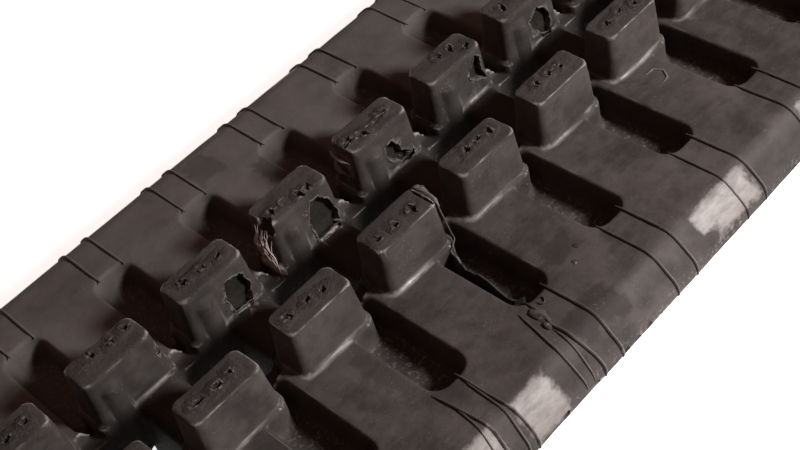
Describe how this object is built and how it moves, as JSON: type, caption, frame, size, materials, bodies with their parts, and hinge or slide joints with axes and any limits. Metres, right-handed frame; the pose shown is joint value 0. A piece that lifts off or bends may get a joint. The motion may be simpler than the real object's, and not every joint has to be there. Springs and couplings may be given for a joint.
{
  "type": "rubber track",
  "caption": "Straight length of rubber crawler track, moulded over steel cores, with staggered guide lugs and sprocket windows, worn and torn inside.",
  "frame": {"origin": "on the ground under the middle of the length", "axes": "+X along the track, +Y across it, +Z from the tread up to the guide lugs"},
  "size_m": [0.48, 0.2318, 0.0685],
  "materials": {
    "rubber": "worn moulded black rubber, warm dark grey, scuffed pale on the shoulders",
    "core_steel": "dark cast steel, rubbed bright where it is bare"
  },
  "bodies": {
    "root": {"rubber_belt": "rubber", "steel_core_01": "core_steel", "steel_core_02": "core_steel", "steel_core_03": "core_steel", "steel_core_04": "core_steel", "steel_core_05": "core_steel", "steel_core_06": "core_steel", "steel_core_07": "core_steel", "steel_core_08": "core_steel", "steel_core_09": "core_steel", "steel_core_10": "core_steel"}
  },
  "joints": []
}
